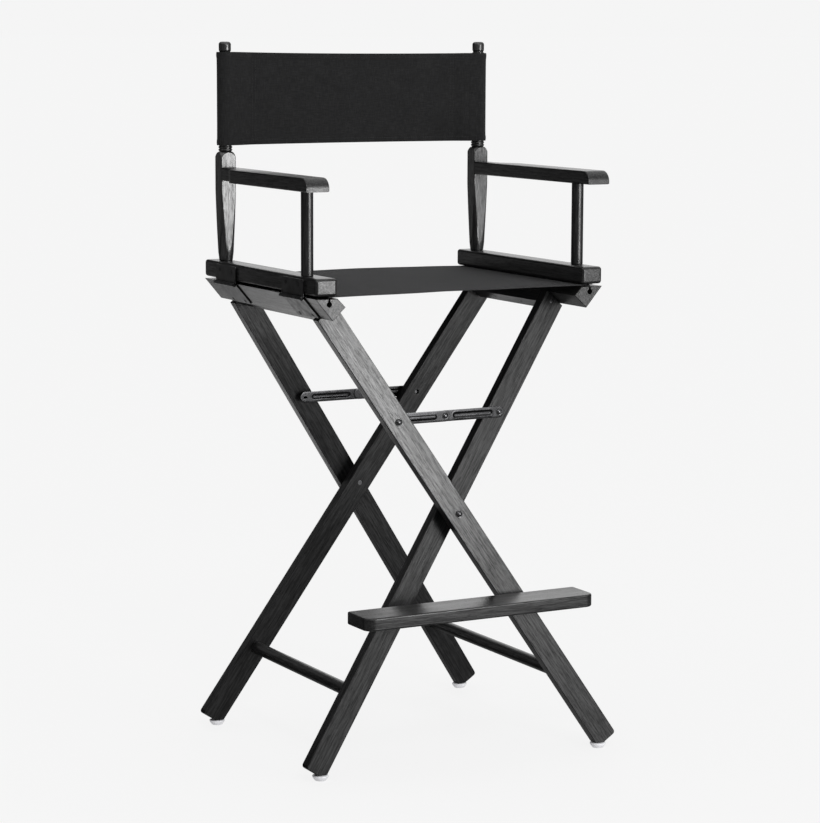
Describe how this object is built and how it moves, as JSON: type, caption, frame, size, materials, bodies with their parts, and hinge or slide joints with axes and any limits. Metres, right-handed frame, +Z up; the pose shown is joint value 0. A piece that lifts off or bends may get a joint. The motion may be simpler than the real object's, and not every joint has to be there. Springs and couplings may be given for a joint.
{
  "type": "director chair",
  "caption": "Tall folding director chair: crossed black wood legs, hinged arm frames, canvas seat and back, folding braces and a footrest board.",
  "frame": {"origin": "on the floor under the middle of the chair's bounding box", "axes": "+X to the right seen from the front, +Y to the back, +Z up"},
  "size_m": [0.5504, 0.541, 1.156],
  "materials": {
    "black_wood": "black stained satin wood with open grain",
    "back_canvas": "black cotton canvas, plain weave",
    "seat_canvas": "black cotton canvas, plain weave",
    "dark_steel": "black coated pressed steel",
    "rivet_steel": "blackened steel rivets, worn bright",
    "nylon": "white moulded nylon"
  },
  "bodies": {
    "outer_leg_frame": {"outer_front_leg": "black_wood", "outer_rear_leg": "black_wood", "left_lower_rail": "black_wood", "left_cleat": "black_wood", "outer_stretcher": "black_wood", "left_seat_dowel": "black_wood", "front_right_glide": "nylon", "rear_right_glide": "nylon", "front_pivot_bolt": "rivet_steel", "rear_pivot_bolt": "rivet_steel", "front_pivot_spacer": "dark_steel", "rear_pivot_spacer": "dark_steel", "left_front_hinge_lower_leaf": "dark_steel", "left_rear_hinge_lower_leaf": "dark_steel", "front_brace_left_rivet": "rivet_steel", "rear_brace_left_rivet": "rivet_steel", "footrest_pivot_bolt": "rivet_steel", "seat_canvas": "seat_canvas"},
    "inner_leg_frame": {"inner_front_leg": "black_wood", "inner_rear_leg": "black_wood", "right_lower_rail": "black_wood", "right_cleat": "black_wood", "inner_stretcher": "black_wood", "right_seat_dowel": "black_wood", "front_left_glide": "nylon", "rear_left_glide": "nylon", "right_front_hinge_lower_leaf": "dark_steel", "right_rear_hinge_lower_leaf": "dark_steel", "front_brace_right_rivet": "rivet_steel", "rear_brace_right_rivet": "rivet_steel", "footrest_peg": "rivet_steel"},
    "left_arm_frame": {"left_upper_rail": "black_wood", "left_back_post": "black_wood", "left_front_post": "black_wood", "left_armrest": "black_wood", "left_front_hinge_upper_leaf": "dark_steel", "left_front_hinge_pin": "dark_steel", "left_rear_hinge_upper_leaf": "dark_steel", "left_rear_hinge_pin": "dark_steel", "back_canvas": "back_canvas"},
    "right_arm_frame": {"right_upper_rail": "black_wood", "right_back_post": "black_wood", "right_front_post": "black_wood", "right_armrest": "black_wood", "right_front_hinge_upper_leaf": "dark_steel", "right_front_hinge_pin": "dark_steel", "right_rear_hinge_upper_leaf": "dark_steel", "right_rear_hinge_pin": "dark_steel"},
    "front_left_link": {"front_brace_left_link": "dark_steel", "front_brace_middle_rivet": "rivet_steel"},
    "front_right_link": {"front_brace_right_link": "dark_steel"},
    "rear_left_link": {"rear_brace_left_link": "dark_steel", "rear_brace_middle_rivet": "rivet_steel"},
    "rear_right_link": {"rear_brace_right_link": "dark_steel"},
    "footrest": {"footrest_board": "black_wood", "footrest_hinge_bracket": "dark_steel", "footrest_rest_plate": "dark_steel"}
  },
  "joints": [
    {"name": "fold", "type": "hinge", "parent": "outer_leg_frame", "child": "inner_leg_frame", "pos_m": [0, 0, 0.407], "axis": [0, -1, 0], "range_deg": [0, 60], "deforming": ["seat_canvas", "back_canvas"]},
    {"name": "left_arm_hinge", "type": "hinge", "parent": "outer_leg_frame", "child": "left_arm_frame", "pos_m": [-0.2646, 0, 0.7628], "axis": [0, -1, 0], "range_deg": [0, 30]},
    {"name": "right_arm_hinge", "type": "hinge", "parent": "inner_leg_frame", "child": "right_arm_frame", "pos_m": [0.2646, 0, 0.7628], "axis": [0, 1, 0], "range_deg": [0, 30]},
    {"name": "front_left_link_pivot", "type": "hinge", "parent": "outer_leg_frame", "child": "front_left_link", "pos_m": [-0.10134, 0, 0.5601], "axis": [0, -1, 0], "range_deg": [0, 114.2]},
    {"name": "front_right_link_pivot", "type": "hinge", "parent": "inner_leg_frame", "child": "front_right_link", "pos_m": [0.10134, 0, 0.5601], "axis": [0, 1, 0], "range_deg": [0, 114.2]},
    {"name": "rear_left_link_pivot", "type": "hinge", "parent": "outer_leg_frame", "child": "rear_left_link", "pos_m": [-0.10134, 0, 0.5601], "axis": [0, -1, 0], "range_deg": [0, 114.2]},
    {"name": "rear_right_link_pivot", "type": "hinge", "parent": "inner_leg_frame", "child": "rear_right_link", "pos_m": [0.10134, 0, 0.5601], "axis": [0, 1, 0], "range_deg": [0, 114.2]},
    {"name": "footrest_swing", "type": "hinge", "parent": "outer_leg_frame", "child": "footrest", "pos_m": [0.10656, 0, 0.246], "axis": [0, 1, 0], "range_deg": [0, 56]}
  ],
  "couplings": [
    {"joint": "left_arm_hinge", "follows": "fold", "ratio": 0.5},
    {"joint": "right_arm_hinge", "follows": "fold", "ratio": 0.5},
    {"joint": "front_left_link_pivot", "follows": "fold", "ratio": 1.8942},
    {"joint": "front_right_link_pivot", "follows": "fold", "ratio": 1.8942},
    {"joint": "rear_left_link_pivot", "follows": "fold", "ratio": 1.8942},
    {"joint": "rear_right_link_pivot", "follows": "fold", "ratio": 1.8942}
  ]
}
